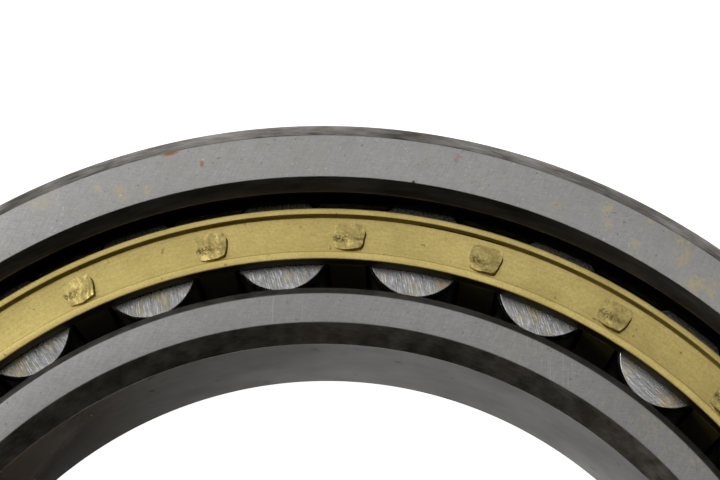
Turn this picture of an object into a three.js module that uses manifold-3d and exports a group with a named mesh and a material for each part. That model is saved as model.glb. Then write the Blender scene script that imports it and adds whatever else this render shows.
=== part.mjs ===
// Cylindrical roller bearing, 100 x 150 x 24 mm, with a two-piece machined brass cage.
// The outer ring has two ribs, which hold the rollers endways. The inner ring has none, so it
// can slide along its axis, and it rests a little back from the outer ring's front face.
// Millimetres, +Z up along the bearing's axis. The bearing lies flat and its lowest face is at z = 0.

import * as THREE from 'three';
import { mergeVertices } from 'three/addons/utils/BufferGeometryUtils.js';
import Module from 'manifold-3d';

const wasm = await Module();
wasm.setup();

// ---------------------------------------------------------------- driving dimensions

const BORE_DIAMETER = 100;
const OUTSIDE_DIAMETER = 150;
const RING_WIDTH = 24;
const SET_BACK = 2.5; // inner ring's front face behind the outer ring's
const INNER_RACEWAY_DIAMETER = 113;
const ROLLER_DIAMETER = 12;
const ROLLER_COUNT = 25;

const OUTSIDE_CHAMFER = { radial: 1.7, axial: 1.5 };
const RIB_WIDTH = 6;
const RIB_BORE_RADIUS = 67;
const RIB_CHAMFER = 1.4;

const BORE_CHAMFER = { radial: 2.2, axial: 1.4 };
const RACEWAY_CHAMFER = { radial: 0.95, axial: 1.4 };

const ROLLER_END_PLAY = 0.05; // between a roller end and a rib, on each side
const ROLLER_CHAMFER = 0.4;
const RUNNING_CLEARANCE = 0.05; // between a roller and each raceway

const CAGE_OUTER_RADIUS = 65.7;
const CAGE_BORE_RADIUS = 59.65;
const CAGE_SET_BACK = 3.2; // cage's end faces behind the outer ring's faces
const CAGE_RING_THICKNESS = 2.4;
const CAGE_EDGE_CHAMFER = 0.3;
const GROOVE_DEPTH = 0.7;
const OUTER_LIP_WIDTH = 0.8;
const INNER_LIP_WIDTH = 0.95;

const POCKET_CLEARANCE = 0.25; // between a roller's side and its pocket
const JOINT_GAP = 0.2; // between the end ring and the pieces of the cage body it is riveted to
const TENON = { wide: 2.6, high: 1.9 }; // across the bar, and along the radius
const HEAD = { outerWidth: 3.7, innerWidth: 3.1, high: 2.9, thickness: 0.45, bevel: 0.15 };
const HEAD_CORNER = 0.6;

const RING_SEGMENTS = 100;
const ROLLER_SEGMENTS = 18;
const POCKET_ARC_SEGMENTS = 6;

// ---------------------------------------------------------------- worked-out dimensions

const bore = BORE_DIAMETER / 2;
const outside = OUTSIDE_DIAMETER / 2;
const innerRaceway = INNER_RACEWAY_DIAMETER / 2;
const pitchRadius = innerRaceway + ROLLER_DIAMETER / 2;
const outerRaceway = pitchRadius + ROLLER_DIAMETER / 2;
const pitchAngle = (2 * Math.PI) / ROLLER_COUNT;

// A ring of flat facets reaches inside its true circle by this fraction of its radius.
const facetFraction = 1 / Math.cos(Math.PI / RING_SEGMENTS) - 1;

const outerRear = SET_BACK;
const outerFront = outerRear + RING_WIDTH;
const rollerBase = outerRear + RIB_WIDTH + ROLLER_END_PLAY;
const rollerLength = RING_WIDTH - 2 * (RIB_WIDTH + ROLLER_END_PLAY);
const rollerRadius = ROLLER_DIAMETER / 2 - RUNNING_CLEARANCE;

const cageRear = outerRear + CAGE_SET_BACK;
const cageFront = outerFront - CAGE_SET_BACK;
const endRingBack = cageFront - CAGE_RING_THICKNESS;
const grooveFloor = cageFront - GROOVE_DEPTH;

// ---------------------------------------------------------------- materials

const ringSteel = () => new THREE.MeshStandardMaterial({ color: 0xa09c99, roughness: 0.4, metalness: 0.9 });
const rollerSteel = () => new THREE.MeshStandardMaterial({ color: 0xb4b2b2, roughness: 0.3, metalness: 0.95 });
const cageBrass = () => new THREE.MeshStandardMaterial({ color: 0xc4ac60, roughness: 0.45, metalness: 0.9 });

// ---------------------------------------------------------------- helpers

// A turned solid from [radius, z] points. The points go round the section anticlockwise, up its
// outside and down its inside. A section that misses the axis is closed back to its first point.
function turned(section, segments) {
  const points = section.map(([radius, z]) => new THREE.Vector2(radius, z));
  if (section[0][0] > 0) points.push(points[0].clone());
  return new THREE.LatheGeometry(points, segments).rotateX(Math.PI / 2);
}

function toSolid(geometry) {
  const bare = geometry.clone();
  bare.deleteAttribute('normal');
  bare.deleteAttribute('uv');
  const merged = mergeVertices(bare, 1e-4);
  const vertProperties = new Float32Array(merged.attributes.position.array);
  const triVerts = new Uint32Array(merged.index.array);
  return new wasm.Manifold(new wasm.Mesh({ numProp: 3, vertProperties, triVerts }));
}

function fromSolid(solid) {
  const { vertProperties, triVerts } = solid.getMesh();
  const geometry = new THREE.BufferGeometry();
  geometry.setAttribute('position', new THREE.BufferAttribute(new Float32Array(vertProperties), 3));
  geometry.setIndex(new THREE.BufferAttribute(new Uint32Array(triVerts), 1));
  return geometry;
}

// A flat shape raised to a prism between two heights.
function prism(shape, bottom, top, options = {}) {
  const geometry = new THREE.ExtrudeGeometry(shape, { depth: top - bottom, bevelEnabled: false, ...options });
  return geometry.translate(0, 0, bottom);
}

function named(name, geometry, material) {
  const mesh = new THREE.Mesh(geometry, material);
  mesh.name = name;
  return mesh;
}

const barAngles = Array.from({ length: ROLLER_COUNT }, (_, i) => Math.PI / 2 + (i + 0.5) * pitchAngle);

// ---------------------------------------------------------------- rings

function outerRing() {
  const raceway = outerRaceway * (1 + facetFraction);
  const { radial, axial } = OUTSIDE_CHAMFER;
  return turned([
    [RIB_BORE_RADIUS + RIB_CHAMFER, outerRear],
    [outside - radial, outerRear],
    [outside, outerRear + axial],
    [outside, outerFront - axial],
    [outside - radial, outerFront],
    [RIB_BORE_RADIUS + RIB_CHAMFER, outerFront],
    [RIB_BORE_RADIUS, outerFront - RIB_CHAMFER],
    [RIB_BORE_RADIUS, outerFront - RIB_WIDTH],
    [raceway, outerFront - RIB_WIDTH],
    [raceway, outerRear + RIB_WIDTH],
    [RIB_BORE_RADIUS, outerRear + RIB_WIDTH],
    [RIB_BORE_RADIUS, outerRear + RIB_CHAMFER],
  ], RING_SEGMENTS);
}

function innerRing() {
  return turned([
    [bore + BORE_CHAMFER.radial, 0],
    [innerRaceway - RACEWAY_CHAMFER.radial, 0],
    [innerRaceway, RACEWAY_CHAMFER.axial],
    [innerRaceway, RING_WIDTH - RACEWAY_CHAMFER.axial],
    [innerRaceway - RACEWAY_CHAMFER.radial, RING_WIDTH],
    [bore + BORE_CHAMFER.radial, RING_WIDTH],
    [bore, RING_WIDTH - BORE_CHAMFER.axial],
    [bore, BORE_CHAMFER.axial],
  ], RING_SEGMENTS);
}

// ---------------------------------------------------------------- rollers

function roller() {
  const top = rollerLength;
  return turned([
    [0, 0],
    [rollerRadius - ROLLER_CHAMFER, 0],
    [rollerRadius, ROLLER_CHAMFER],
    [rollerRadius, top - ROLLER_CHAMFER],
    [rollerRadius - ROLLER_CHAMFER, top],
    [0, top],
  ], ROLLER_SEGMENTS);
}

// ---------------------------------------------------------------- cage

// The section of one bar: a block between two round pockets, wide at its inner and outer faces
// and narrow where the rollers come closest. It lies on the +X axis.
function barShape() {
  const pocketRadius = ROLLER_DIAMETER / 2 + POCKET_CLEARANCE;
  const half = pitchAngle / 2;
  const halfAngleAt = (radius) => half - Math.acos(
    (radius ** 2 + pitchRadius ** 2 - pocketRadius ** 2) / (2 * radius * pitchRadius));
  const outerHalf = halfAngleAt(CAGE_OUTER_RADIUS);
  const innerHalf = halfAngleAt(CAGE_BORE_RADIUS);
  const pocketX = pitchRadius * Math.cos(half);
  const pocketY = pitchRadius * Math.sin(half);
  const directionTo = (radius, angle) => Math.atan2(
    radius * Math.sin(angle) - pocketY, radius * Math.cos(angle) - pocketX);
  const atOutside = directionTo(CAGE_OUTER_RADIUS, outerHalf);
  const atBore = directionTo(CAGE_BORE_RADIUS, innerHalf);

  const outline = [];
  const addArc = (x, y, radius, from, to, steps) => {
    for (let i = 0; i < steps; i += 1) {
      const angle = from + ((to - from) * i) / steps;
      outline.push(new THREE.Vector2(x + radius * Math.cos(angle), y + radius * Math.sin(angle)));
    }
  };
  addArc(0, 0, CAGE_OUTER_RADIUS, -outerHalf, outerHalf, 1);
  addArc(pocketX, pocketY, pocketRadius, atOutside, atBore, POCKET_ARC_SEGMENTS);
  addArc(0, 0, CAGE_BORE_RADIUS, innerHalf, -innerHalf, 1);
  addArc(pocketX, -pocketY, pocketRadius, -atBore, -atOutside, POCKET_ARC_SEGMENTS);
  return new THREE.Shape(outline);
}

// A block on the pitch circle at +X, with cut corners. Its two sides may lean towards each other.
function blockShape(innerWidth, outerWidth, high, corner) {
  const inner = pitchRadius - high / 2;
  const outer = pitchRadius + high / 2;
  const lean = ((outerWidth - innerWidth) / 2) * (corner / high);
  return new THREE.Shape([
    [inner, innerWidth / 2 - corner],
    [inner, corner - innerWidth / 2],
    [inner + corner, -innerWidth / 2 - lean],
    [outer - corner, lean - outerWidth / 2],
    [outer, corner - outerWidth / 2],
    [outer, outerWidth / 2 - corner],
    [outer - corner, outerWidth / 2 - lean],
    [inner + corner, innerWidth / 2 + lean],
  ].map(([x, y]) => new THREE.Vector2(x, y)));
}

// The rear ring with its bars, each ending in a tenon and a peened head.
function cageBody() {
  const rearRingTop = cageRear + CAGE_RING_THICKNESS;
  const barTop = endRingBack - JOINT_GAP;
  const sunk = 0.5; // how far each block runs into the one it is joined to
  const headBottom = grooveFloor + JOINT_GAP;
  const headTop = headBottom + HEAD.thickness;
  const edge = CAGE_EDGE_CHAMFER;

  let body = toSolid(turned([
    [CAGE_BORE_RADIUS + edge, cageRear],
    [CAGE_OUTER_RADIUS - edge, cageRear],
    [CAGE_OUTER_RADIUS, cageRear + edge],
    [CAGE_OUTER_RADIUS, rearRingTop],
    [CAGE_BORE_RADIUS, rearRingTop],
    [CAGE_BORE_RADIUS, cageRear + edge],
  ], RING_SEGMENTS));

  const bar = prism(barShape(), rearRingTop - sunk, barTop);
  const tenon = prism(blockShape(TENON.wide, TENON.wide, TENON.high, 0.3), barTop - sunk, headTop - HEAD.bevel);
  const head = prism(
    blockShape(HEAD.innerWidth - 2 * HEAD.bevel, HEAD.outerWidth - 2 * HEAD.bevel, HEAD.high - 2 * HEAD.bevel,
      HEAD_CORNER),
    headBottom + HEAD.bevel, headTop - HEAD.bevel,
    { bevelEnabled: true, bevelSegments: 1, bevelSize: HEAD.bevel, bevelThickness: HEAD.bevel });
  const riveted = toSolid(bar).add(toSolid(tenon)).add(toSolid(head));
  for (const angle of barAngles) {
    body = body.add(riveted.rotate([0, 0, THREE.MathUtils.radToDeg(angle)]));
  }
  return fromSolid(body);
}

// The loose ring that closes the pockets. A shallow groove in its front face takes the heads.
function cageEndRing() {
  const edge = CAGE_EDGE_CHAMFER;
  let ring = toSolid(turned([
    [CAGE_BORE_RADIUS, endRingBack],
    [CAGE_OUTER_RADIUS, endRingBack],
    [CAGE_OUTER_RADIUS, cageFront - edge],
    [CAGE_OUTER_RADIUS - edge, cageFront],
    [CAGE_OUTER_RADIUS - OUTER_LIP_WIDTH, cageFront],
    [CAGE_OUTER_RADIUS - OUTER_LIP_WIDTH, grooveFloor],
    [CAGE_BORE_RADIUS + INNER_LIP_WIDTH, grooveFloor],
    [CAGE_BORE_RADIUS + INNER_LIP_WIDTH, cageFront],
    [CAGE_BORE_RADIUS + edge, cageFront],
    [CAGE_BORE_RADIUS, cageFront - edge],
  ], RING_SEGMENTS));
  const wide = TENON.wide + 2 * JOINT_GAP;
  const high = TENON.high + 2 * JOINT_GAP;
  const hole = toSolid(prism(blockShape(wide, wide, high, 0.3), endRingBack - 1, grooveFloor + 1));
  for (const angle of barAngles) {
    ring = ring.subtract(hole.rotate([0, 0, THREE.MathUtils.radToDeg(angle)]));
  }
  return fromSolid(ring);
}

// ---------------------------------------------------------------- the bearing

const bearing = new THREE.Group();
bearing.add(named('outer_ring', outerRing(), ringSteel()));
bearing.add(named('inner_ring', innerRing(), ringSteel()));
bearing.add(named('cage_body', cageBody(), cageBrass()));
bearing.add(named('cage_end_ring', cageEndRing(), cageBrass()));

// roller_01 is on +Y and the others follow it anticlockwise.
for (let i = 0; i < ROLLER_COUNT; i += 1) {
  const angle = Math.PI / 2 + i * pitchAngle;
  const mesh = named(`roller_${String(i + 1).padStart(2, '0')}`, roller(), rollerSteel());
  mesh.position.set(pitchRadius * Math.cos(angle), pitchRadius * Math.sin(angle), rollerBase);
  mesh.rotation.z = angle;
  bearing.add(mesh);
}

export default bearing;
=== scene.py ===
import math
import random

import bpy
from mathutils import Matrix, Vector, noise


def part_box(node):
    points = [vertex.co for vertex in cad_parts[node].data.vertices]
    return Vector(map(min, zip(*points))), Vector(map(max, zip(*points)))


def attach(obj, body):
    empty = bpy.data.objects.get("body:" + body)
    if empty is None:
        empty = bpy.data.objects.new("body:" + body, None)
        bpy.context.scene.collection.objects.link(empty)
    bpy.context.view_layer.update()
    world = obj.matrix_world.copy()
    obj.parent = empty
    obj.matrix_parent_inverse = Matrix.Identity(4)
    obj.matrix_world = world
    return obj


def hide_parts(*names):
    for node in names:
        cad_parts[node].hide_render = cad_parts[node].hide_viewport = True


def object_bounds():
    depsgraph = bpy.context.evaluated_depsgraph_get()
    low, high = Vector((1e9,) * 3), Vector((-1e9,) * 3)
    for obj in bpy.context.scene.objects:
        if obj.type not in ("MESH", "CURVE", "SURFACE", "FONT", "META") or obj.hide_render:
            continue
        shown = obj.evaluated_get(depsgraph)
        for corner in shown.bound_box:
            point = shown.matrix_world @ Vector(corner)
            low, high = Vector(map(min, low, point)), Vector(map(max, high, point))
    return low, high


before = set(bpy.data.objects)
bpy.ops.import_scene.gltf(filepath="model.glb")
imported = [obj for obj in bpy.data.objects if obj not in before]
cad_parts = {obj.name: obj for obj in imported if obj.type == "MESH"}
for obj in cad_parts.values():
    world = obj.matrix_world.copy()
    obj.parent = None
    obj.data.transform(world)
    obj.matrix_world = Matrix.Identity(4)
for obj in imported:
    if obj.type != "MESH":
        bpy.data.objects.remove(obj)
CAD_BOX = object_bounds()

# A cylindrical roller bearing, lying flat. Metres, +Z up along its axis, as in the frame.
# Every visible surface is turned about that axis, apart from the cage's bars and their peened heads.

MM = 0.001

# ---------------------------------------------------------------- sizes from the frame

OUTER_LOW, OUTER_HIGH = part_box("outer_ring")
INNER_LOW, INNER_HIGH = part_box("inner_ring")
CAGE_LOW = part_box("cage_body")[0]
END_LOW, END_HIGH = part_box("cage_end_ring")
ROLLER_LOW, ROLLER_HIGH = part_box("roller_01")

OUTSIDE = OUTER_HIGH.x
REAR, FRONT = OUTER_LOW.z, OUTER_HIGH.z
INNER_RACEWAY = INNER_HIGH.x
INNER_REAR, INNER_FRONT = INNER_LOW.z, INNER_HIGH.z
CAGE_OUTSIDE = END_HIGH.x
CAGE_REAR, CAGE_FRONT = CAGE_LOW.z, END_HIGH.z
END_RING_BACK = END_LOW.z
PITCH = (ROLLER_LOW.y + ROLLER_HIGH.y) / 2
ROLLER_COUNT = sum(name.startswith("roller_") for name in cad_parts)
PITCH_ANGLE = 2 * math.pi / ROLLER_COUNT

# ---------------------------------------------------------------- sizes of the design

BORE = 50 * MM
RIB_BORE = 67 * MM
RIB_WIDTH = 6 * MM
RIB_CHAMFER = 1.4 * MM
OUTSIDE_CHAMFER = (1.7 * MM, 1.5 * MM)  # across the face, and along the axis
BORE_CHAMFER = (2.2 * MM, 1.4 * MM)
RACEWAY_CHAMFER = (0.95 * MM, 1.4 * MM)
RELIEF_DEPTH = 0.3 * MM  # undercut in the raceway's corners
RELIEF_WIDTH = 0.9 * MM

CAGE_BORE = 59.65 * MM
CAGE_RING = 2.4 * MM
GROOVE_DEPTH = 0.7 * MM
OUTER_LIP = 0.8 * MM
LIP_DRAFT = 0.18 * MM  # the outer lip's wall leans, as the tool's flank left it
INNER_LIP = 0.95 * MM
POCKET_CLEARANCE = 0.25 * MM

RUNNING_CLEARANCE = 0.03 * MM
ROLLER_CHAMFER = 0.42 * MM
ROLLER_RIM = 0.05 * MM  # the narrow band where the chamfer meets the end, coloured near white as a painted highlight
HEAD_HIGH = 3.05 * MM
HEAD_WIDTHS = (3.2 * MM, 3.95 * MM)  # towards the bore, and towards the outside
HEAD_RISE = 0.65 * MM

SEGMENTS = 300  # round the rings
ROLLER_SEGMENTS = 72
ROUNDING_STEPS = 3  # along a rounded corner

# ---------------------------------------------------------------- levels of light

FLOOR_GLOW = 0.8
BORE_GLOW = 1.25  # the floor's glow inside the bore, against its glow outside the bearing
BORE_FADE = (0.8 * MM, 1.4 * MM)  # outwards from the bore: where that glow starts and stops fading
OUTSIDE_FADE = (2 * MM, 7 * MM)  # outwards from the outside: where the glow starts and is full again
FLOOR_DROP = 0.1 * MM  # the floor lies this far below the bearing
WORLD_DARK = 0.14
WORLD_PALE = 0.4


# ---------------------------------------------------------------- camera

LENS = 90.6
SENSOR = 36.0
CAMERA_HEIGHT = 193.9 * MM  # above the front face
CAMERA_OFFSET = (7.3 * MM, 6.4 * MM)  # from the axis: to the right, and towards the arc in view
CAMERA_TILT = math.radians(15.71)
CAMERA_LEAN = math.radians(0.81)
CAMERA_TURN = math.radians(-4.26)


def make_camera():
    """The photo's viewpoint: over the bore, looking down at the upper arc."""
    data = bpy.data.cameras.new("camera")
    data.lens = LENS
    data.sensor_width = SENSOR
    data.clip_start = 0.01
    camera = bpy.data.objects.new("camera", data)
    turn = Matrix.Rotation(CAMERA_TURN, 3, "Z")
    camera.location = turn @ Vector((*CAMERA_OFFSET, 0)) + Vector((0, 0, FRONT + CAMERA_HEIGHT))
    camera.rotation_euler = (CAMERA_TILT, CAMERA_LEAN, CAMERA_TURN)
    bpy.context.scene.collection.objects.link(camera)
    bpy.context.scene.camera = camera


# ---------------------------------------------------------------- shader building

class Shader:
    """A material's node tree, with short names for the nodes that these materials need."""

    def __init__(self, name):
        self.material = bpy.data.materials.new(name)
        self.material.use_nodes = True
        self.tree = self.material.node_tree
        self.tree.nodes.clear()
        self.position = self.node("ShaderNodeTexCoord").outputs["Object"]

    def node(self, kind, inputs=None, **settings):
        made = self.tree.nodes.new(kind)
        for name, value in settings.items():
            setattr(made, name, value)
        for name, value in (inputs or {}).items():
            self.put(made.inputs[name], value)
        return made

    def put(self, socket, value):
        if isinstance(value, bpy.types.NodeSocket):
            self.tree.links.new(value, socket)
        else:
            socket.default_value = value

    def math(self, operation, a, b=0.0):
        return self.node("ShaderNodeMath", {0: a, 1: b}, operation=operation).outputs[0]

    def length(self, vector):
        return self.node("ShaderNodeVectorMath", {0: vector}, operation="LENGTH").outputs["Value"]

    def join(self, x, y, z):
        return self.node("ShaderNodeCombineXYZ", {0: x, 1: y, 2: z}).outputs[0]

    def noise(self, where, scale, detail=3.0, rough=0.55):
        inputs = {"Vector": where, "Scale": scale, "Detail": detail, "Roughness": rough}
        return self.node("ShaderNodeTexNoise", inputs).outputs[0]

    def window(self, value, low, high, to_low=0.0, to_high=1.0):
        """value, between low and high, stretched to run between to_low and to_high."""
        inputs = {"Value": value, "From Min": low, "From Max": high, "To Min": to_low, "To Max": to_high}
        return self.node("ShaderNodeMapRange", inputs, clamp=True).outputs[0]

    def mix(self, amount, a, b):
        made = self.node("ShaderNodeMix", data_type="RGBA")
        self.put(made.inputs["Factor"], amount)
        self.put(made.inputs["A"], a)
        self.put(made.inputs["B"], b)
        return made.outputs["Result"]

    def bump(self, height, distance, strength):
        inputs = {"Height": height, "Distance": distance, "Strength": strength}
        return self.node("ShaderNodeBump", inputs).outputs[0]

    def cylindrical(self):
        """The position's x, y and z, and its distance from the axis."""
        x, y, z = self.node("ShaderNodeSeparateXYZ", {0: self.position}).outputs
        radius = self.math("SQRT", self.math("ADD", self.math("MULTIPLY", x, x), self.math("MULTIPLY", y, y)))
        return x, y, z, radius

    def turned_position(self, across, around):
        """Coordinates in which lines run round the axis: fine across them and long around it."""
        x, y, z, radius = self.cylindrical()
        step = self.math("MULTIPLY", self.math("ADD", radius, self.math("MULTIPLY", z, 1.7)), across)
        cosine = self.math("MULTIPLY", self.math("DIVIDE", x, radius), around)
        sine = self.math("MULTIPLY", self.math("DIVIDE", y, radius), around)
        return self.join(cosine, sine, step)

    def streaked_position(self, degrees, across, along):
        """Coordinates in which lines run straight, at an angle to X."""
        turn = {"Vector": self.position, "Rotation": (0, 0, math.radians(degrees))}
        turned = self.node("ShaderNodeMapping", turn).outputs[0]
        return self.node("ShaderNodeMapping", {"Vector": turned, "Scale": (along, across, across)}).outputs[0]

    def finish(self, colour, roughness, normal=None, **sockets):
        inputs = {"Base Color": colour, "Roughness": roughness}
        inputs.update({name.replace("_", " ").title(): value for name, value in sockets.items()})
        surface = self.node("ShaderNodeBsdfPrincipled", inputs)
        if normal is not None:
            self.put(surface.inputs["Normal"], normal)
        self.node("ShaderNodeOutputMaterial", {"Surface": surface.outputs[0]})
        return self.material


def grey(value, warmth=0.0):
    """A grey, made yellower by warmth."""
    return (value * (1 + warmth), value, value * (1 - 1.4 * warmth), 1)


# ---------------------------------------------------------------- materials: steel

RUBBED_LEFT = (-32 * MM, -12 * MM)  # X range over which the brass rubbed on the faces thins out
RUBBED_RIGHT = (20 * MM, 38 * MM)  # X range over which it comes back
BORE_SHADE_SPAN = (-40 * MM, 8 * MM)  # X range over which the painted shade in the bore thins out

BRASS_RUB = (0.64, 0.52, 0.24, 1)
DIRT = (0.035, 0.028, 0.02, 1)
RUST = (0.36, 0.15, 0.05, 1)
FLECK = (0.18, 0.12, 0.06, 1)
# painted shade: the dark brown that the bore turns towards -X
BORE_SHADE_BROWN = (0.036, 0.029, 0.020, 1)
STAIN = (0.47, 0.38, 0.16, 1)

SOLID, SPECKLED = 1.3, 5.0  # how far noise moves a mark's edge, as a share of its half-size
MARK_EDGE = 0.65  # what that noise adds to the edge on average
MARK_FADE = (1.05, 1.45)  # where a mark starts and stops fading
# Marks on the outer ring's front face: degrees clockwise from +Y, radius, half-size along and across,
# strength, colour, and how broken up the mark is.
FACE_MARKS = [
    (-9.1, 73.15 * MM, (1.5 * MM, 0.4 * MM), 0.9, RUST, SOLID),
    (-6.5, 71.15 * MM, (0.35 * MM, 0.6 * MM), 0.7, RUST, SOLID),
    (-16.1, 71.6 * MM, (0.5 * MM, 0.6 * MM), 0.35, BRASS_RUB, SPECKLED),
    (-14.3, 70.2 * MM, (0.9 * MM, 1.3 * MM), 0.35, BRASS_RUB, SPECKLED),
    (-11.8, 69.7 * MM, (0.7 * MM, 0.7 * MM), 0.4, BRASS_RUB, SPECKLED),
    (16.7, 72.3 * MM, (0.5 * MM, 0.5 * MM), 0.35, RUST, SPECKLED),
    (30.8, 72.0 * MM, (0.8 * MM, 1.0 * MM), 0.55, BRASS_RUB, SPECKLED),
    (31.4, 70.6 * MM, (0.6 * MM, 1.1 * MM), 0.4, BRASS_RUB, SPECKLED),
    (34.4, 69.9 * MM, (0.9 * MM, 0.6 * MM), 0.4, BRASS_RUB, SPECKLED),
    (38.8, 71.2 * MM, (0.7 * MM, 1.3 * MM), 0.4, BRASS_RUB, SPECKLED),
    (41.0, 69.6 * MM, (0.9 * MM, 1.3 * MM), 0.6, BRASS_RUB, SPECKLED),
]


def marked(s, colour, degrees, radius, size, strength, mark_colour, ragged):
    """The colour with one mark of FACE_MARKS laid on it. Noise moves the mark's edge by ragged."""
    angle = math.radians(90 - degrees)
    centre = (-radius * math.cos(angle), -radius * math.sin(angle), -FRONT)
    near = s.node("ShaderNodeMapping", {"Vector": s.position, "Location": centre}).outputs[0]
    turn = {"Vector": near, "Rotation": (0, 0, math.radians(degrees))}
    along = s.node("ShaderNodeMapping", turn).outputs[0]
    stretch = {"Vector": along, "Scale": (1 / size[0], 1 / size[1], 0)}
    stretched = s.node("ShaderNodeMapping", stretch).outputs[0]
    rough = s.noise(s.position, 1900, 4, 0.75)
    edge = s.window(rough, 0, 1, MARK_EDGE - ragged / 2, MARK_EDGE + ragged / 2)
    reach = s.math("ADD", s.length(stretched), edge)
    shown = s.math("MULTIPLY", s.window(reach, *MARK_FADE, 1, 0), strength)
    return s.mix(shown, colour, mark_colour)


def ground_face(name, bright, wear_and_glint, marks=()):
    """A ring's flat face: surface-ground, handled, with brass rubbed off on it, small pits and marks, and
    painted highlights: bright sparkles in its colour.
    """
    s = Shader(name)
    cloud = s.noise(s.position, 55, 3)
    grain = s.noise(s.streaked_position(12, 5200, 900), 1, 4, 0.7)
    cross = s.noise(s.streaked_position(-58, 5600, 800), 1, 3, 0.7)
    tone = s.math("ADD", s.math("MULTIPLY", grain, 0.5), s.math("MULTIPLY", cross, 0.5))
    colour = s.mix(s.window(tone, 0.36, 0.64), grey(0.35 * bright, 0.015), grey(0.51 * bright, 0.01))
    colour = s.mix(s.window(cloud, 0.35, 0.7, 0, 0.4), colour, grey(0.37 * bright, 0.04))
    mottle = s.noise(s.position, 620, 3, 0.65)
    colour = s.mix(s.window(mottle, 0.5, 0.7, 0, 0.35), colour, grey(0.34 * bright, 0.06))

    fine = s.noise(s.streaked_position(97, 4200, 160), 1, 2, 0.5)
    fine_mask = s.window(s.noise(s.position, 120, 2), 0.5, 0.64)
    scratch = s.math("MULTIPLY", s.window(fine, 0.62, 0.70), fine_mask)
    colour = s.mix(s.math("MULTIPLY", scratch, 0.3), colour, grey(0.6))

    # painted highlight: bright sparkles mixed into the colour, more of them on the outer ring's face
    painted_glint = s.window(s.noise(s.position, 3600, 2, 0.6), 0.68, 0.74)
    colour = s.mix(s.math("MULTIPLY", painted_glint, 0.7 * wear_and_glint), colour, grey(0.85, 0.03))
    fleck = s.window(s.noise(s.position, 1900, 2, 0.6), 0.68, 0.74)
    colour = s.mix(s.math("MULTIPLY", fleck, 0.6), colour, FLECK)

    rub_shape = s.noise(s.streaked_position(78, 2600, 900), 1, 5, 0.8)
    rub_where = s.window(s.noise(s.position, 150, 4, 0.6), 0.50, 0.60)
    x = s.cylindrical()[0]
    left = s.window(x, *RUBBED_LEFT, 0.6 * wear_and_glint, 0.12 * wear_and_glint)
    right = s.window(x, *RUBBED_RIGHT, 0, wear_and_glint)
    rub_here = s.math("MULTIPLY", rub_where, s.math("ADD", left, right))
    rub = s.math("MULTIPLY", s.window(rub_shape, 0.525, 0.58), rub_here)
    colour = s.mix(s.math("MULTIPLY", rub, 0.85), colour, BRASS_RUB)
    smear = s.window(s.noise(s.position, 260, 4, 0.7), 0.50, 0.62, 0, 0.42)
    colour = s.mix(s.math("MULTIPLY", smear, rub_here), colour, BRASS_RUB)

    for mark in marks:
        colour = marked(s, colour, *mark)

    dots = s.node("ShaderNodeTexVoronoi", {"Vector": s.position, "Scale": 330.0, "Randomness": 1.0})
    pit = s.window(dots.outputs["Distance"], 0.05, 0.085, 1, 0)
    pit = s.math("MULTIPLY", pit, s.window(s.noise(s.position, 240, 1), 0.56, 0.6))
    colour = s.mix(s.math("MULTIPLY", pit, 0.85), colour, DIRT)

    roughness = s.window(s.math("ADD", tone, s.math("MULTIPLY", cloud, 0.4)), 0.4, 1.0, 0.38, 0.52)
    height = s.math("SUBTRACT", tone, s.math("MULTIPLY", pit, 1.5))
    normal = s.bump(height, 0.006 * MM, 0.8)
    return s.finish(colour, roughness, normal, metallic=1.0)


def turned_steel(name, dark, light, roughness, across=5200, around=26, bump=0.008, warmth=0.03, edge=1.0):
    """Steel turned or ground round the axis, with lines of uneven tone along the cut.

    edge is how much of the surface's glancing shine is left, which oil and oxide take away, and which painted
    shade takes away on the rib bore."""
    s = Shader(name)
    lines = s.noise(s.turned_position(across, around), 1, 4, 0.65)
    broad = s.noise(s.turned_position(across / 9, around / 2.5), 1, 2, 0.5)
    cloud = s.noise(s.position, 90, 3)
    tone = s.math("ADD", s.math("MULTIPLY", lines, 0.5), s.math("MULTIPLY", broad, 0.5))
    colour = s.mix(s.window(tone, 0.36, 0.64), grey(dark, warmth), grey(light, warmth / 2))
    colour = s.mix(s.window(cloud, 0.45, 0.75, 0, 0.5), colour, grey(dark, warmth * 1.5))
    rough = s.window(s.math("ADD", tone, cloud), 0.7, 1.3, roughness * 0.8, roughness * 1.25)
    return s.finish(colour, rough, s.bump(lines, bump * MM, 0.7), metallic=1.0, specular_tint=grey(edge))


def bore_steel():
    """The inner ring's bore: ground, dull, with dark spots of old oil, and painted shade that darkens it and
    dims its shine towards -X.
    """
    s = Shader("bore_ground")
    lines = s.noise(s.turned_position(4200, 30), 1, 4, 0.6)
    cloud = s.noise(s.position, 70, 3)
    colour = s.mix(s.window(lines, 0.35, 0.65), grey(0.10, 0.03), grey(0.16, 0.02))
    colour = s.mix(s.window(cloud, 0.4, 0.7, 0, 0.5), colour, grey(0.07, 0.05))
    # painted shade: darker and less shiny towards -X, for the light that side of the bore reflects
    bore_shade = s.window(s.cylindrical()[0], *BORE_SHADE_SPAN, 0.9, 0)
    colour = s.mix(bore_shade, colour, BORE_SHADE_BROWN)
    spot = s.window(s.noise(s.position, 420, 3, 0.6), 0.66, 0.7)
    colour = s.mix(s.math("MULTIPLY", spot, 0.7), colour, DIRT)
    roughness = s.window(cloud, 0.3, 0.7, 0.32, 0.46)
    normal = s.bump(lines, 0.006 * MM, 0.7)
    shine = s.mix(bore_shade, grey(0.5), grey(0.12))
    return s.finish(colour, roughness, normal, metallic=1.0, specular_tint=shine)


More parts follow.
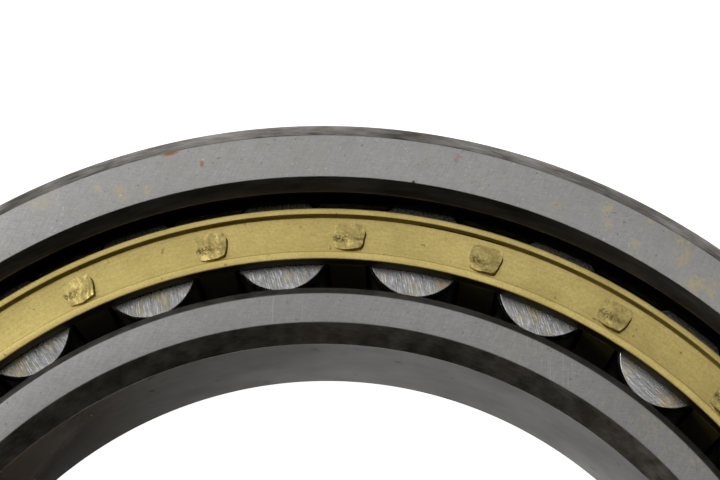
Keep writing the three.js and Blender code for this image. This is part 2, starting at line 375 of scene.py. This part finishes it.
def roller_end():
    """A roller's end: ground flat, which leaves fine crossing lines, with a few brown stains and painted
    white sparkles along the lines.
    """
    s = Shader("roller_end_ground")
    one = s.noise(s.streaked_position(68, 9500, 700), 1, 3, 0.65)
    two = s.noise(s.streaked_position(22, 9500, 800), 1, 3, 0.65)
    lines = s.math("ADD", s.math("MULTIPLY", one, 0.68), s.math("MULTIPLY", two, 0.32))
    cloud = s.noise(s.position, 260, 3)
    colour = s.mix(s.window(lines, 0.38, 0.60), grey(0.20), grey(0.53))
    # painted highlight: white sparkles along one set of grinding lines
    painted_glint = s.math("MULTIPLY", s.window(one, 0.58, 0.66), s.window(cloud, 0.38, 0.5))
    colour = s.mix(painted_glint, colour, grey(1.0))
    colour = s.mix(s.window(cloud, 0.42, 0.7, 0, 0.35), colour, grey(0.34, 0.03))
    own = s.node("ShaderNodeObjectInfo").outputs["Random"]
    shift = {0: s.position, 1: s.join(own, own, 0.0)}
    shifted = s.node("ShaderNodeVectorMath", shift, operation="ADD").outputs[0]
    stain = s.window(s.noise(shifted, 330, 4, 0.7), 0.48, 0.64)
    colour = s.mix(s.math("MULTIPLY", stain, 0.6), colour, STAIN)
    roughness = s.window(lines, 0.4, 0.6, 0.34, 0.24)
    return s.finish(colour, roughness, s.bump(lines, 0.03 * MM, 0.9), metallic=1.0)


# ---------------------------------------------------------------- materials: brass

BRASS_LIGHT = (0.70, 0.565, 0.215, 1)
BRASS_DARK = (0.51, 0.395, 0.13, 1)
BRASS_OLIVE = (0.38, 0.30, 0.11, 1)
BRASS_WORN = (0.60, 0.48, 0.18, 1)
# also the painted shade at the foot of the tenon heads
BRASS_DIRT_AND_SHADE = (0.13, 0.085, 0.03, 1)


def turned_brass(name, tone=1.0, roughness=0.42):
    """Brass faced on a lathe: faint rings, dulled by handling, with small dark specks."""
    s = Shader(name)
    lines = s.noise(s.turned_position(4600, 40), 1, 4, 0.6)
    cloud = s.noise(s.position, 130, 3)
    grain = s.noise(s.position, 3600, 2, 0.7)
    light = tuple(value * tone for value in BRASS_LIGHT[:3]) + (1,)
    dark = tuple(value * tone for value in BRASS_DARK[:3]) + (1,)
    blend = s.math("ADD", s.math("MULTIPLY", lines, 0.45), s.math("MULTIPLY", grain, 0.55))
    colour = s.mix(s.window(blend, 0.3, 0.62), dark, light)
    colour = s.mix(s.window(cloud, 0.42, 0.72, 0, 0.35), colour, dark)
    speck = s.math("MULTIPLY", s.window(s.noise(s.position, 1300, 2, 0.5), 0.70, 0.76), 0.6)
    colour = s.mix(speck, colour, BRASS_DIRT_AND_SHADE)
    rough = s.window(cloud, 0.3, 0.7, roughness * 0.9, roughness * 1.2)
    return s.finish(colour, rough, s.bump(blend, 0.012 * MM, 0.7), metallic=1.0)


def peened_brass():
    """A tenon's hammered head: uneven, with grime caught where it is dented, and painted shade at the foot of
    its proud edges.
    """
    s = Shader("tenon_head_peened")
    lump = s.noise(s.position, 900, 4, 0.6)
    fine = s.noise(s.position, 4200, 3, 0.7)
    both = s.math("ADD", s.math("MULTIPLY", lump, 0.5), s.math("MULTIPLY", fine, 0.5))
    colour = s.mix(s.window(both, 0.42, 0.62), BRASS_OLIVE, BRASS_WORN)
    dents_and_shade = s.node("ShaderNodeAttribute", attribute_name="dents_and_shade").outputs["Fac"]
    # the attribute also carries painted shade: it darkens the foot of the head's proud edges
    dirt_and_shade = s.math("MULTIPLY", dents_and_shade, s.window(fine, 0.40, 0.54, 1, 0.1))
    colour = s.mix(dirt_and_shade, colour, BRASS_DIRT_AND_SHADE)
    normal = s.bump(both, 0.05 * MM, 0.8)
    return s.finish(colour, s.window(both, 0.3, 0.7, 0.5, 0.38), normal, metallic=1.0)


def make_materials():
    """Each zone's material. Turned steel's numbers are its dark tone, its light tone and its roughness."""
    return {
        "face": ground_face("outer_ring_face_ground", 1.0, 0.8, FACE_MARKS),
        # painted shade: the inner ring's face is the same ground steel at 0.8 of the outer face's tone, for
        # the different light it reflects, with fewer painted sparkles
        "inner face": ground_face("inner_ring_face_ground_shaded", 0.80, 0.3),
        "outside": turned_steel("outside_ground", 0.34, 0.46, 0.32, across=5200, around=30),
        "outside chamfer": turned_steel("outside_chamfer_turned", 0.09, 0.45, 0.46,
                                        across=7000, around=34, warmth=0.09, edge=0.5),
        "rib chamfer": turned_steel("rib_chamfer_dark", 0.20, 0.45, 0.34,
                                    across=3600, around=24, warmth=0.16),
        # painted shade: the rib bore's steel is made nearly black and its glancing shine cut, for the shade
        # deep inside the ring
        "rib bore": turned_steel("rib_bore_painted_shade", 0.025, 0.07, 0.34,
                                 across=4200, around=22, warmth=0.08, edge=0.25),
        "raceway": turned_steel("raceway_polished", 0.42, 0.55, 0.16, across=5000, around=20, bump=0.003),
        "raceway chamfer": turned_steel("raceway_chamfer", 0.16, 0.30, 0.6,
                                        across=3600, around=60, warmth=0.09, edge=0.6),
        "bore chamfer": turned_steel("bore_chamfer_dark", 0.15, 0.34, 0.40,
                                     across=3000, around=60, warmth=0.16),
        "bore": bore_steel(),
        "roller end": roller_end(),
        # painted highlight: the rim is steel made near white, for the bright line that light draws along it
        "roller rim": turned_steel("roller_rim_painted_highlight", 0.7, 0.9, 0.4, across=5200, around=14, bump=0.003),
        "roller side": turned_steel("roller_side_polished", 0.16, 0.24, 0.2,
                                    across=5200, around=14, bump=0.003, edge=0.4),
        "brass": turned_brass("cage_brass_turned"),
        # painted shade: the outer lip's inner wall is the brass made a little darker
        "brass wall": turned_brass("cage_lip_wall_shaded", 0.85, 0.5),
        # painted shade: the cage ring's bore is its brass at a fifth of the tone, for the shade on that
        # inward wall, which the roller ends mirror as a dark band
        "brass bore": turned_brass("cage_bore_painted_shade", 0.2, 0.4),
        # painted shade: the brass inside the bearing, on the end ring's underside, the bars and the rear
        # ring, is darkened to 0.28 of its tone
        "brass inside": turned_brass("cage_brass_painted_shade", 0.28, 0.5),
        # painted light: the inner lip is the brass made 12% lighter, as a lit copy of it
        "brass lip": turned_brass("cage_inner_lip_painted_light", 1.12, 0.36),
        "brass outer lip": turned_brass("cage_outer_lip_turned", 1.0, 0.42),
        "crease": turned_brass("cage_crease_dark", 0.06, 0.6),
        "head": peened_brass(),
    }


# ---------------------------------------------------------------- mesh building

def object_from(name, vertices, faces, face_zones, materials, smooth_angle=32):
    """A mesh object whose faces take their material by zone name."""
    mesh = bpy.data.meshes.new(name)
    mesh.from_pydata(vertices, [], faces)
    zones = sorted(set(face_zones))
    for zone in zones:
        mesh.materials.append(materials[zone])
    mesh.polygons.foreach_set("material_index", [zones.index(zone) for zone in face_zones])
    mesh.polygons.foreach_set("use_smooth", [True] * len(mesh.polygons))
    mesh.set_sharp_from_angle(angle=math.radians(smooth_angle))
    made = bpy.data.objects.new(name, mesh)
    bpy.context.scene.collection.objects.link(made)
    return made


def rounded(section):
    """The corners (radius, z, rounding, zone) of a section, as points with each corner rounded.

    A corner's zone is the one of the edge that leaves it."""
    points = []
    for i, (radius, z, rounding, zone) in enumerate(section):
        before, after = section[i - 1], section[(i + 1) % len(section)]
        corner = Vector((radius, z))
        back = Vector(before[:2]) - corner
        forward = Vector(after[:2]) - corner
        reach = min(rounding, 0.45 * back.length, 0.45 * forward.length)
        if reach == 0:
            points.append((radius, z, zone))
            continue
        for step in range(ROUNDING_STEPS + 1):
            t = step / ROUNDING_STEPS
            point = corner + back.normalized() * reach * (1 - t) ** 2 + forward.normalized() * reach * t ** 2
            points.append((point.x, point.y, zone if t > 0.5 else before[3]))
    return points


def turned(name, section, materials, segments=SEGMENTS):
    """A solid of revolution about Z. The section runs anticlockwise and closes on itself."""
    points = rounded(section)
    count = len(points)
    vertices, faces, zones = [], [], []
    for j in range(segments):
        angle = 2 * math.pi * j / segments
        vertices += [(r * math.cos(angle), r * math.sin(angle), z) for r, z, _ in points]
    for j in range(segments):
        here, there = j * count, (j + 1) % segments * count
        for i in range(count):
            up = (i + 1) % count
            faces.append((here + i, there + i, there + up, here + up))
            zones.append(points[i][2])
    return object_from(name, vertices, faces, zones, materials)


def prism(outline, bottom, top):
    """The vertices and faces of a block with that outline of (x, y) points, given anticlockwise."""
    count = len(outline)
    vertices = [(x, y, z) for z in (bottom, top) for x, y in outline]
    faces = [tuple(reversed(range(count))), tuple(range(count, 2 * count))]
    for i in range(count):
        after = (i + 1) % count
        faces.append((i, after, count + after, count + i))
    return vertices, faces


def mount(piece, body, slot, *nodes):
    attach(piece, body)
    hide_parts(*nodes)


# ---------------------------------------------------------------- rings

def mirrored(section, low, high):
    """A section's front half, given from its outside inwards, with the same half behind it.

    An edge's zone belongs to its first corner, so the rear half takes the zone of the edge it mirrors."""
    count = len(section)
    rear = []
    for i in range(count - 1, -1, -1):
        radius, z, rounding, _ = section[i]
        zone = section[i - 1][3] if i > 0 else section[-1][3]
        rear.append((radius, low + high - z, rounding, zone))
    rear[-1] = (*rear[-1][:3], "outside" if section[0][0] == OUTSIDE else "raceway")
    return rear + section


def make_outer_ring(materials):
    """The ring with a rib on each side of its raceway."""
    across, along = OUTSIDE_CHAMFER
    raceway = PITCH + (PITCH - INNER_RACEWAY)
    flank = FRONT - RIB_WIDTH
    front_half = [
        (OUTSIDE, FRONT - along, 0.35 * MM, "outside chamfer"),
        (OUTSIDE - across, FRONT, 0.08 * MM, "face"),
        (RIB_BORE + RIB_CHAMFER, FRONT, 0.08 * MM, "rib chamfer"),
        (RIB_BORE, FRONT - RIB_CHAMFER, 0.12 * MM, "rib bore"),
        (RIB_BORE, flank, 0.10 * MM, "rib bore"),
        (raceway + RELIEF_DEPTH, flank, 0.15 * MM, "raceway chamfer"),
        (raceway + RELIEF_DEPTH, flank - RELIEF_WIDTH, 0.15 * MM, "raceway chamfer"),
        (raceway, flank - RELIEF_WIDTH - RELIEF_DEPTH, 0.1 * MM, "raceway"),
    ]
    ring = turned("outer_ring_ground", mirrored(front_half, REAR, FRONT), materials)
    mount(ring, "outer_ring", "ring_steel", "outer_ring")


def make_inner_ring(materials):
    """The plain ring, which has no ribs."""
    across, along = BORE_CHAMFER
    lead, lead_length = RACEWAY_CHAMFER
    front_half = [
        (INNER_RACEWAY, INNER_FRONT - lead_length, 0.15 * MM, "raceway chamfer"),
        (INNER_RACEWAY - lead, INNER_FRONT, 0.15 * MM, "inner face"),
        (BORE + across, INNER_FRONT, 0.10 * MM, "bore chamfer"),
        (BORE, INNER_FRONT - along, 0.04 * MM, "bore"),
    ]
    ring = turned("inner_ring_ground", mirrored(front_half, INNER_REAR, INNER_FRONT), materials)
    mount(ring, "inner_ring", "ring_steel", "inner_ring")


# ---------------------------------------------------------------- rollers

def make_rollers(materials):
    """The rollers, each turned to an angle of its own so that their grinding lines differ."""
    radius = PITCH - INNER_RACEWAY - RUNNING_CLEARANCE
    flat = radius - ROLLER_CHAMFER
    bottom, top = ROLLER_LOW.z, ROLLER_HIGH.z
    half = (top - bottom) / 2
    hub = 0.25 * MM
    section = [
        (hub, -half, 0, "roller end"),
        (flat, -half, 0.02 * MM, "roller rim"),
        (flat + ROLLER_RIM, ROLLER_RIM - half, 0, "roller side"),
        (radius, ROLLER_CHAMFER - half, 0.2 * MM, "roller side"),
        (radius, half - ROLLER_CHAMFER, 0.2 * MM, "roller side"),
        (flat + ROLLER_RIM, half - ROLLER_RIM, 0, "roller rim"),
        (flat, half, 0.02 * MM, "roller end"),
        (hub, half, 0, "roller end"),
    ]
    random.seed(7)
    for i in range(ROLLER_COUNT):
        node = f"roller_{i + 1:02d}"
        roller = turned(f"{node}_ground", section, materials, segments=ROLLER_SEGMENTS)
        angle = math.pi / 2 + i * PITCH_ANGLE
        roller.location = (PITCH * math.cos(angle), PITCH * math.sin(angle), (bottom + top) / 2)
        roller.rotation_euler.z = math.radians(random.uniform(-24, 24))
        mount(roller, node, "roller_steel", node)


# ---------------------------------------------------------------- cage

BAR_ANGLES = [math.pi / 2 + (i + 0.5) * PITCH_ANGLE for i in range(ROLLER_COUNT)]
GROOVE_FLOOR = CAGE_FRONT - GROOVE_DEPTH
CREASE = (14.2, 23.0)  # where it starts and ends, in degrees clockwise from +Y


def make_end_ring(materials):
    """The loose front ring, with a groove in its face between two lips."""
    section = [
        (CAGE_BORE, END_RING_BACK, 0.1 * MM, "brass inside"),
        (CAGE_OUTSIDE, END_RING_BACK, 0.1 * MM, "brass"),
        (CAGE_OUTSIDE, CAGE_FRONT, 0.28 * MM, "brass outer lip"),
        (CAGE_OUTSIDE - OUTER_LIP, CAGE_FRONT, 0.1 * MM, "brass wall"),
        (CAGE_OUTSIDE - OUTER_LIP - LIP_DRAFT, GROOVE_FLOOR, 0.12 * MM, "brass"),
        (CAGE_BORE + INNER_LIP, GROOVE_FLOOR, 0.08 * MM, "brass"),
        (CAGE_BORE + INNER_LIP, CAGE_FRONT, 0.15 * MM, "brass lip"),
        (CAGE_BORE, CAGE_FRONT, 0.25 * MM, "brass bore"),
    ]
    ring = turned("cage_end_ring_turned", section, materials)
    mount(ring, "cage", "cage_brass", "cage_end_ring")


def bar_outline():
    """A bar's section on the +X axis: a block between two round pockets."""
    half = PITCH_ANGLE / 2
    pocket = PITCH - INNER_RACEWAY + POCKET_CLEARANCE
    centre = Vector((PITCH * math.cos(half), PITCH * math.sin(half)))

    def corner(radius):
        between = math.acos((radius ** 2 + PITCH ** 2 - pocket ** 2) / (2 * radius * PITCH))
        angle = half - between
        return Vector((radius * math.cos(angle), radius * math.sin(angle)))

    at_outside = corner(CAGE_OUTSIDE) - centre
    at_bore = corner(CAGE_BORE) - centre
    start = math.atan2(at_outside.y, at_outside.x)
    end = math.atan2(at_bore.y, at_bore.x)
    steps = 16
    side = []
    for i in range(steps + 1):
        angle = start + (end - start) * i / steps
        side.append((centre.x + pocket * math.cos(angle), centre.y + pocket * math.sin(angle)))
    return side + [(x, -y) for x, y in reversed(side)]


def make_cage_body(materials):
    """The rear ring with its bars."""
    top = CAGE_REAR + CAGE_RING
    ring = turned("cage_rear_ring", [
        (CAGE_BORE, CAGE_REAR, 0.3 * MM, "brass"),
        (CAGE_OUTSIDE, CAGE_REAR, 0.3 * MM, "brass"),
        (CAGE_OUTSIDE, top, 0.1 * MM, "brass inside"),
        (CAGE_BORE, top, 0.1 * MM, "brass inside"),
    ], materials)
    mount(ring, "cage", "cage_brass", "cage_body")

    outline = bar_outline()
    vertices, faces = [], []
    for angle in BAR_ANGLES:
        turn = Matrix.Rotation(angle, 3, "Z")
        block, sides = prism(outline, top - 0.2 * MM, END_RING_BACK + 0.05 * MM)
        offset = len(vertices)
        vertices += [tuple(turn @ Vector(point)) for point in block]
        faces += [tuple(offset + corner for corner in side) for side in sides]
    bars = object_from("cage_bars", vertices, faces, ["brass inside"] * len(faces), materials)
    mount(bars, "cage", "cage_brass", "cage_body")


def make_lip_crease(materials):
    """A thin near-black strip along the foot of the outer lip, over part of its arc."""
    steps, width = 40, 0.05 * MM
    radius = CAGE_OUTSIDE - OUTER_LIP - LIP_DRAFT - 0.02 * MM
    vertices, faces = [], []
    for i in range(steps + 1):
        angle = math.radians(90 - CREASE[0] - (CREASE[1] - CREASE[0]) * i / steps)
        half = width * (math.sin(math.pi * i / steps) ** 0.4 + 0.15 * noise.noise(Vector((i * 0.4, 0, 0))))
        for offset, lift in ((-half, 0.02), (0, 0.10), (half, 0.12)):
            reach = radius + offset
            vertices.append((reach * math.cos(angle), reach * math.sin(angle), GROOVE_FLOOR + lift * MM))
        if i:
            first = 3 * (i - 1)
            faces += [(first + k, first + k + 3, first + k + 4, first + k + 1) for k in range(2)]
    crease = object_from("cage_lip_crease", vertices, faces, ["crease"] * len(faces), materials)
    mount(crease, "cage", "cage_brass", "cage_end_ring")


def smooth(value, low, high):
    t = min(1, max(0, (value - low) / (high - low)))
    return t * t * (3 - 2 * t)


def head_surface(across, up, seed):
    """The height of a peened head over the groove's floor, and how dented it is there.

    across runs from -1 to 1 clockwise, and up from -1 at the bore to 1 at the outside. The hammer
    drew each head outwards and anticlockwise, so it stands proud at its other two edges."""
    place = Vector((across * 1.1, up * 0.9, seed * 5.3))
    rise = 0.26 + 0.34 * (1 - up) / 2 + 0.34 * (1 + across) / 2
    spread = smooth(across, -2.6, 0.8)
    fold = 0.07 * smooth(up + 0.3 * noise.noise(place), -0.4, 0.1)
    lump = 0.17 * noise.noise(place * 1.2) + 0.05 * noise.noise(place * 4) + 0.03 * noise.noise(place * 9)
    spot_across = -0.45 + 0.5 * noise.noise(Vector((seed * 1.9, 0.5, 0)))
    dents_and_shade = smooth(1 - math.hypot((across - spot_across) / 0.8, (up + 0.2) / 0.42), 0, 0.6)
    pock = dents_and_shade * abs(noise.noise(Vector((across * 10, up * 9, seed * 3.1))))
    height = HEAD_RISE * spread * (rise + lump - fold) - 0.12 * MM * pock
    return max(height, 0.02 * MM), dents_and_shade


def head_mesh(seed):
    """A peened head on the +X axis: a folded pad, wider towards the outside of the cage."""
    columns, rows = 34, 28

    def place(across, up, height, grow=1.0):
        squared_across = across * math.sqrt(1 - 0.26 * up * up)
        squared_up = up * math.sqrt(1 - 0.26 * across * across)
        wobble = 0.05 * noise.noise(Vector((across * 1.6, up * 1.6, seed * 2.7)))
        width = (HEAD_WIDTHS[0] * (1 - squared_up) + HEAD_WIDTHS[1] * (1 + squared_up)) / 2
        x = PITCH + squared_up * HEAD_HIGH / 2 * grow * (1 + wobble)
        y = -squared_across * width / 2 * grow * (1 + wobble)
        return (x, y, GROOVE_FLOOR + height)

    vertices, dents_and_shade = [], []
    for row in range(rows + 1):
        for column in range(columns + 1):
            across, up = 2 * column / columns - 1, 2 * row / rows - 1
            height, dent = head_surface(across, up, seed)
            vertices.append(place(across, up, height))
            dents_and_shade.append(dent)
    faces = []
    wide = columns + 1
    for row in range(rows):
        for column in range(columns):
            corner = row * wide + column
            faces.append((corner, corner + wide, corner + wide + 1, corner + 1))

    edge = [(column, 0) for column in range(columns)]
    edge += [(columns, row) for row in range(rows)]
    edge += [(column, rows) for column in range(columns, 0, -1)]
    edge += [(0, row) for row in range(rows, 0, -1)]
    foot = len(vertices)
    for column, row in edge:
        across, up = 2 * column / columns - 1, 2 * row / rows - 1
        # painted shade: along the bore and clockwise edges the foot is pushed out and darkened, for the
        # shadow beside the proud head
        proud = smooth(head_surface(across, up, seed)[0], 0.1 * MM, 0.35 * MM) * smooth(across - up, 0.1, 0.8)
        vertices.append(place(across, up, -0.02 * MM, 0.97 + 0.13 * proud))
        dents_and_shade.append(1.3 * proud)
    for i, (column, row) in enumerate(edge):
        after = (i + 1) % len(edge)
        top, top_after = row * wide + column, edge[after][1] * wide + edge[after][0]
        faces.append((top, top_after, foot + after, foot + i))
    return vertices, faces, dents_and_shade


def make_heads(materials):
    """The peened heads of all the bars' tenons, as one mesh."""
    vertices, faces, dents_and_shade = [], [], []
    for i, angle in enumerate(BAR_ANGLES):
        turn = Matrix.Rotation(angle, 3, "Z")
        head, sides, dented = head_mesh(i + 1)
        offset = len(vertices)
        vertices += [tuple(turn @ Vector(point)) for point in head]
        faces += [tuple(offset + corner for corner in side) for side in sides]
        dents_and_shade += dented
    heads = object_from("tenon_heads", vertices, faces, ["head"] * len(faces), materials, 50)
    heads.data.attributes.new("dents_and_shade", "FLOAT", "POINT").data.foreach_set("value", dents_and_shade)
    mount(heads, "cage", "cage_brass", "cage_body")


# ---------------------------------------------------------------- floor and light

def make_floor():
    """A pale table. It glows a little, except under the rings, so that it stays pale around them."""
    bpy.ops.mesh.primitive_plane_add(size=4, location=(0, 0, CAD_BOX[0][2] - FLOOR_DROP))
    floor = bpy.context.object
    floor.name = "floor"
    s = Shader("floor_pale")
    radius = s.cylindrical()[3]
    inside = s.window(radius, BORE + BORE_FADE[0], BORE + BORE_FADE[1], BORE_GLOW, 0)
    outside = s.window(radius, OUTSIDE + OUTSIDE_FADE[0], OUTSIDE + OUTSIDE_FADE[1])
    glow = s.math("MULTIPLY", s.math("ADD", inside, outside), FLOOR_GLOW)
    mottle = s.noise(s.position, 6, 2)
    colour = s.mix(s.window(mottle, 0.3, 0.7), grey(0.86), grey(0.88))
    floor.data.materials.append(s.finish(colour, 0.7, emission_color=(1, 1, 1, 1), emission_strength=glow))


def make_light(name, width, depth, radiance, location, target=(0, 0, 0)):
    """A rectangular soft light. Its power gives that radiance whatever its size."""
    data = bpy.data.lights.new(name, "AREA")
    data.shape = "RECTANGLE"
    data.size = width
    data.size_y = depth
    data.energy = radiance * math.pi * width * depth
    light = bpy.data.objects.new(name, data)
    light.location = location
    light.rotation_euler = (Vector(target) - light.location).to_track_quat("-Z", "Y").to_euler()
    bpy.context.scene.collection.objects.link(light)


def make_world():
    """A studio that is pale behind the bearing and dark in front of it."""
    world = bpy.data.worlds.new("studio")
    world.use_nodes = True
    tree = world.node_tree
    direction = tree.nodes.new("ShaderNodeTexCoord").outputs["Generated"]
    towards = tree.nodes.new("ShaderNodeSeparateXYZ")
    level = tree.nodes.new("ShaderNodeMapRange")
    level.interpolation_type = "SMOOTHSTEP"
    for name, value in {"From Min": -1, "From Max": 0.6, "To Min": WORLD_DARK, "To Max": WORLD_PALE}.items():
        level.inputs[name].default_value = value
    tree.links.new(direction, towards.inputs[0])
    tree.links.new(towards.outputs["Y"], level.inputs["Value"])
    tree.links.new(level.outputs[0], tree.nodes["Background"].inputs["Strength"])
    bpy.context.scene.world = world
    bpy.context.scene.view_settings.view_transform = "Standard"


# ---------------------------------------------------------------- the scene

make_camera()
make_world()
make_light("overhead_softbox", width=1.6, depth=1.1, radiance=0.85,
           location=(-0.24, 0.5, 1.0), target=(-0.24, 0.5, 0))
make_light("key_softbox", width=0.6, depth=0.6, radiance=5.5, location=(-0.95, 0.4, 0.8))
make_floor()

MATERIALS = make_materials()
make_outer_ring(MATERIALS)
make_inner_ring(MATERIALS)
make_rollers(MATERIALS)
make_end_ring(MATERIALS)
make_cage_body(MATERIALS)
make_lip_crease(MATERIALS)
make_heads(MATERIALS)

bpy.context.view_layer.update()
